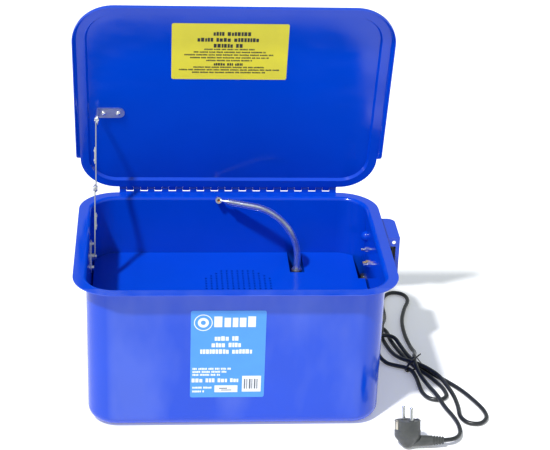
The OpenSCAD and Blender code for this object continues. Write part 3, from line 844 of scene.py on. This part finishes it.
@dataclass
class MainsLead:
    """The mains lead in its loose hank, its strain relief, tie and plug."""

    diameter: float = 0.0065
    length: float = 1.8
    relief_ribs: int = 6
    plug_ribs: int = 4

    def build(self) -> None:
        """Makes every piece of the lead."""
        route = [Vector(p) * MM for p in LEAD_ROUTE]
        cord = round_curve("mains_lead", smooth_path(route, 4), self.diameter / 2 - 0.0001, LEAD)
        settle(cord, Body.TANK, LEAD, "power_cord")
        relief = self.strain_relief()
        plug = self.plug()
        tails = self.tie_tails()

    def strain_relief(self) -> bpy.types.Object:
        """The ribbed, tapered boot under the switch box."""
        low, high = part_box("strain_relief")
        foot = Vector(((low.x + high.x) / 2, (low.y + high.y) / 2, low.z))
        height = high.z - low.z
        wide, narrow = (high.x - low.x) / 2, 0.0042
        profile = [(0.0, 0.0), (narrow - 0.0004, 0.0)]
        for i in range(self.relief_ribs):
            for share, rib in ((0.1, 0.0), (0.35, 0.0), (0.5, -0.0009), (0.85, -0.0009)):
                z = (i + share) / self.relief_ribs * height * 0.86
                radius = narrow + (wide - narrow) * z / height
                profile.append((radius + rib, z))
        profile += [(wide, height * 0.9), (wide, height), (0.0, height)]
        shape = bmesh.new()
        lathe(shape, profile, Matrix.Translation(foot))
        return settle(mesh_piece("lead_boot", shape, RUBBER), Body.TANK, RUBBER, "strain_relief")

    def plug(self) -> bpy.types.Object:
        """The angled plug, leaning back on its cone: round body, and a stem with a ribbed end."""
        upright = (
            Matrix.Translation(PLUG_AT)
            @ Matrix.Rotation(PLUG_LEAN, 4, "X")
            @ Matrix.Translation((0, 0, -STEM_HEIGHT))
        )
        shape = bmesh.new()
        lathe(shape, PLUG_PROFILE, upright, 64)
        for side in (-PIN_SPACING / 2, PIN_SPACING / 2):
            collar = upright @ Matrix.Rotation(PIN_TURN, 4, "Z")
            lathe(shape, COLLAR_PROFILE, collar @ Matrix.Translation((side, 0, 0)), 24)
        stem = upright @ Matrix.Translation((0, 0, STEM_HEIGHT)) @ Matrix.Rotation(math.pi / 2, 4, "Y")
        profile = [(0.0, 0.0), (0.0082, 0.0), (0.0070, STEM_PLAIN)]
        start, end = STEM_PLAIN, STEM_LENGTH
        for i in range(self.plug_ribs):
            for share, rib in ((0.08, -0.0012), (0.38, -0.0012), (0.5, 0.0), (0.96, 0.0)):
                along = start + (i + share) / self.plug_ribs * (end - start)
                grown = 0.0071 - 0.0018 * (along - start) / (end - start)
                profile.append((grown + rib, along))
        profile += [(0.0044, end), (0.0, end)]
        lathe(shape, profile, stem, 36)
        return settle(mesh_piece("mains_plug", shape, PLUG_GREY), Body.TANK, PLUG_GREY, "plug_body")

    def tie_tails(self) -> bpy.types.Object:
        """The two twisted ends of the tie."""
        low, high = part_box("cord_tie")
        top = Vector(((low.x + high.x) / 2 + 0.002, (low.y + high.y) / 2, high.z - 0.0012))
        shape = bmesh.new()
        for side, lift in ((1.0, 0.9), (-1.0, 0.6)):
            path = [
                top + Vector((side * 0.0015 * k, 0.0016 * k * side, 0.0002 * k * lift))
                for k in range(7)
            ]
            radii = [0.0011, 0.0012, 0.0010, 0.0012, 0.0010, 0.0011, 0.0008]
            sweep(shape, path, radii, 8)
        return settle(mesh_piece("tie_ends", shape, TIE), Body.TANK, TIE)


@dataclass
class PumpLead:
    """The short lead from the pump, through the wall gland, into the switch box."""

    radius: float = 0.0028

    def build(self) -> None:
        """Makes the lead as a smooth round tube."""
        points = smooth_path([Vector(p) * MM for p in PUMP_ROUTE], 4)
        cord = round_curve("pump_lead_tube", points, self.radius, LEAD)
        settle(cord, Body.TANK, LEAD, "pump_lead")


# ---- Labels ----


@dataclass
class Label:
    """A printed film: rows of plain blocks that stand for print."""

    node: str
    body: Body
    film: Film
    ink: Film
    place: Matrix
    seed: int
    thin: float = 0.00006

    def build_film(self, radius: float) -> None:
        """Makes the film.

        Args:
            radius: its corner radius.
        """
        low, high = self.box()
        shape = bmesh.new()
        rounded_sheet(shape, low, high, radius, self.place)
        settle(mesh_piece(f"{self.node}_film", shape, self.film), self.body, self.film, self.node)

    def box(self) -> tuple[Vector, Vector]:
        """The film's box in the label's frame."""
        return node_box(self.node, self.place.inverted())

    def print_rows(self, name: str, rows: Iterable[Box], ink: Film) -> None:
        """Makes rows of blocks.

        Args:
            name: the piece's name.
            rows: (middle across, middle up, width, height) as shares of the film.
            ink: their ink.
        """
        low, high = self.box()
        size = high - low
        draw = random.Random(self.seed)
        shape = bmesh.new()
        z = high.z
        for across, up, wide, tall in rows:
            height = tall * size.y
            x = low.x + (across - wide / 2) * size.x
            right = x + wide * size.x
            y = low.y + up * size.y
            while x < right - 0.3 * height:
                for _ in range(draw.randint(3, 9)):
                    step = height * draw.uniform(0.5, 0.9)
                    if x + step > right:
                        break
                    top = y + height * draw.choice((0.5, 0.5, 0.38))
                    slab(
                        shape,
                        Vector((x, y - height / 2, z)),
                        Vector((x + step * 0.78, top, z + self.thin)),
                        self.place,
                    )
                    x += step
                x += height * 0.55
        settle(mesh_piece(name, shape, ink), self.body, ink)

    def patch(self, name: str, boxes: Iterable[Box], ink: Film, layer: int = 1) -> None:
        """Makes plain rectangles of ink.

        Args:
            name: the piece's name.
            boxes: (left, bottom, right, top) as shares of the film.
            ink: their ink.
            layer: how many ink layers up they lie.
        """
        low, high = self.box()
        size = high - low
        shape = bmesh.new()
        base = high.z + (layer - 1) * self.thin
        for left, bottom, right, top in boxes:
            slab(
                shape,
                Vector((low.x + left * size.x, low.y + bottom * size.y, base)),
                Vector((low.x + right * size.x, low.y + top * size.y, base + self.thin)),
                self.place,
            )
        settle(mesh_piece(name, shape, ink), self.body, ink)


@dataclass
class LidSheet:
    """Frame of the lid when it is shut, its skin and its label."""

    hinge: Vector = field(init=False)
    open_angle: float = field(init=False)

    def __post_init__(self) -> None:
        """Reads the hinge from the record."""
        pivot = joint("lid_hinge")
        self.hinge = Vector(pivot["pos_m"])
        limits = pivot.get("range_deg") or [math.degrees(a) for a in pivot["range_rad"]]
        self.open_angle = math.radians(max(limits))

    def frame(self) -> Matrix:
        """The lid's frame: the hinge, with the shut lid's axes."""
        return Matrix.Translation(self.hinge) @ Matrix.Rotation(-self.open_angle, 4, "X")

    def build(self) -> None:
        """Dresses the lid and makes its label."""
        dress(ENAMEL_LID, "lid_shell")
        dress(ENAMEL_PARTS, "hinge_lid_leaf", "hinge_tank_leaf")
        under = self.frame() @ Matrix.Rotation(math.pi, 4, "X") @ Matrix.Scale(1, 4)
        label = Label("lid_label", Body.LID, YELLOW_FILM, YELLOW_INK, under, 4)
        label.build_film(0.003)
        rows = [
            (0.52, 0.82, 0.33, 0.068),
            (0.50, 0.715, 0.56, 0.068),
            (0.50, 0.61, 0.28, 0.068),
            (0.50, 0.545, 0.44, 0.026),
            (0.50, 0.495, 0.62, 0.026),
            (0.50, 0.445, 0.78, 0.026),
            (0.50, 0.395, 0.68, 0.026),
            (0.50, 0.345, 0.40, 0.026),
            (0.50, 0.275, 0.27, 0.045),
            (0.50, 0.222, 0.62, 0.026),
            (0.50, 0.175, 0.87, 0.026),
            (0.50, 0.128, 0.64, 0.026),
        ]
        label.print_rows("lid_label_print", rows, YELLOW_INK)


@dataclass
class Tank:
    """The pressed tank, its shelf and front label."""

    def build(self) -> None:
        """Dresses the sheet parts and makes the front label."""
        dress(ENAMEL, "tank_shell")
        dress(ENAMEL_PARTS, "parts_shelf", "shelf_legs", "blanking_plug", "switch_box")
        self.front_label()

    def front_label(self) -> None:
        """The light blue label with a plain ring, rows of blocks and two white panels."""
        facing = Matrix.Rotation(math.pi / 2, 4, "X")
        label = Label("front_label", Body.TANK, BLUE_FILM, WHITE_INK, facing, 11)
        label.build_film(0.003)
        rows = [
            (0.62, 0.875, 0.62, 0.12),
            (0.49, 0.685, 0.34, 0.05),
            (0.49, 0.61, 0.42, 0.05),
            (0.49, 0.535, 0.72, 0.05),
            (0.30, 0.335, 0.54, 0.022),
            (0.26, 0.30, 0.46, 0.022),
            (0.22, 0.265, 0.38, 0.022),
            (0.35, 0.20, 0.66, 0.045),
            (0.17, 0.115, 0.28, 0.022),
            (0.12, 0.07, 0.18, 0.022),
        ]
        label.print_rows("front_label_print", rows, WHITE_INK)
        panels = [(0.33, 0.06, 0.64, 0.14), (0.70, 0.065, 0.955, 0.25)]
        label.patch("front_label_panels", panels, WHITE_INK)
        bars = [(0.725 + 0.034 * k, 0.10, 0.725 + 0.034 * k + w, 0.215)
                for k, w in enumerate((0.018, 0.012, 0.022, 0.012, 0.02, 0.014))]
        bars += [(0.39, 0.10, 0.50, 0.112), (0.42, 0.08, 0.56, 0.09)]
        label.patch("front_label_bars", bars, GREY_INK, layer=2)
        self.ring(label)

    def ring(self, label: Label) -> None:
        """Makes the plain white ring with a dot, at the label's top left.

        Args:
            label: the label it lies on.
        """
        low, high = label.box()
        size = high - low
        centre = Vector((low.x + 0.165 * size.x, low.y + 0.865 * size.y, high.z))
        shape = bmesh.new()
        place = label.place @ Matrix.Translation(centre)
        for outer, inner in ((0.0128, 0.0116), (0.0075, 0.0035)):
            verts = [
                shape.verts.new(place @ Vector((r, 0, z)))
                for r, z in ((inner, 0), (outer, 0), (outer, label.thin), (inner, label.thin))
            ]
            edges = [shape.edges.new((verts[k], verts[(k + 1) % 4])) for k in range(4)]
            bmesh.ops.spin(
                shape, geom=verts + edges, cent=place.translation,
                axis=place.to_3x3() @ Vector((0, 0, 1)), angle=math.tau, steps=40, use_merge=True,
            )
        settle(mesh_piece("front_label_ring", shape, WHITE_INK), label.body, WHITE_INK)


# ---- Spout and pump ----


@dataclass
class Spout:
    """The flexible spout: a wound core in a clear sleeve, on a brass swivel."""

    bend: float = 0.072
    foot: float = 0.131
    rise: float = 0.149
    level_end: float = 0.119
    heading: float = math.radians(157)
    winding: float = 0.0016
    jet_reach: float = 0.010
    nozzle_turn: float = math.radians(113)
    nozzle_tip: float = math.radians(75)

    def build(self) -> None:
        """Dresses the spout and makes its wound core."""
        dress(NICKELLED, "swivel_socket", "swivel_spigot")
        dress(PVC, "spout_sleeve", "supply_tube")
        dress(CHROME, "spout_nozzle")
        shape = bmesh.new()
        path = self.path()
        radii = [0.0032 if i % 2 else 0.0028 for i in range(len(path))]
        sweep(shape, path, radii, 18)
        settle(mesh_piece("spout_winding", shape, SPIRAL, 80.0), Body.SPOUT, SPIRAL, "spout_core")
        self.jet()

    def path(self) -> list[Vector]:
        """Even points on the spout's line."""
        swivel = joint("spout_swivel")["pos_m"]
        out = Vector((math.cos(self.heading), math.sin(self.heading), 0))
        base = Vector((swivel[0], swivel[1], 0))
        arc = self.bend * math.pi / 2
        up = self.rise - self.foot
        total = up + arc + self.level_end - self.bend
        count = int(total / (self.winding / 2))
        points: list[Vector] = []
        for i in range(count + 1):
            along = total * i / count
            if along <= up:
                point = base + Vector((0, 0, self.foot + along))
            elif along <= up + arc:
                angle = (along - up) / self.bend
                point = base + out * self.bend * (1 - math.cos(angle))
                point = point + Vector((0, 0, self.rise + self.bend * math.sin(angle)))
            else:
                point = base + out * (self.bend + along - up - arc)
                point = point + Vector((0, 0, self.rise + self.bend))
            points.append(point)
        return points

    def jet(self) -> None:
        """The copper jet inside the nozzle's ring."""
        swivel = joint("spout_swivel")["pos_m"]
        out = Vector((math.cos(self.heading), math.sin(self.heading), 0))
        level = Vector((swivel[0], swivel[1], self.rise + self.bend))
        centre = level + out * (self.level_end + self.jet_reach)
        facing = (
            Matrix.Translation(centre)
            @ Matrix.Rotation(self.heading + self.nozzle_turn, 4, "Z")
            @ Matrix.Rotation(self.nozzle_tip, 4, "Y")
        )
        shape = bmesh.new()
        lathe(
            shape,
            [(0.0, -0.0019), (0.0021, -0.0019), (0.0021, 0.0016), (0.0012, 0.0012), (0.0011, -0.0008),
             (0.0, -0.0008)],
            facing,
            24,
        )
        settle(mesh_piece("nozzle_jet", shape, JET), Body.SPOUT, JET)


@dataclass
class Fittings:
    """Small bought-in parts: pump, glands, screws, stay, switch."""

    def build(self) -> None:
        """Dresses them."""
        dress(BLACK, "pump_body", "pump_strainer", "pump_outlet", "lead_gland", "cord_gland",
              "switch_bezel", "switch_module")
        dress(RUBBER, "pump_feet")
        dress(BRIGHT_ZINC, "box_bolts", "box_nuts", "box_cover_screw", "bracket_bolts",
              "bracket_nuts", "stay_lower_rivet", "lid_bracket_rivets", "stay_upper_rivet",
              "link_rivets", "splice_rivets", "knee_rivet_head", "knee_rivet_tail")
        dress(ZINC, "hinge_pin", "stay_wall_bracket", "stay_lid_bracket")
        dress(STAY_ZINC, "stay_upper_strip", "stay_lower_strip", "stay_splice")
        dress(BRASS, "earth_stud")
        dress(TINNED, "fusible_link")
        dress(CHROME, "plug_pins")
        dress(CLIP, "plug_earth_clips")
        dress(ROCKER_BROWN, "switch_rocker")
        dress(TIE, "cord_tie")


def main() -> None:
    """Builds everything in order."""
    logging.basicConfig(level=logging.INFO, format="%(name)s: %(message)s")
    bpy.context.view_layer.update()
    for part in (Studio(), MainsLead(), PumpLead(), Tank(), LidSheet(), Spout(), Fittings()):
        LOG.info("building %s", type(part).__name__)
        part.build()


if __name__ == "__main__":
    main()
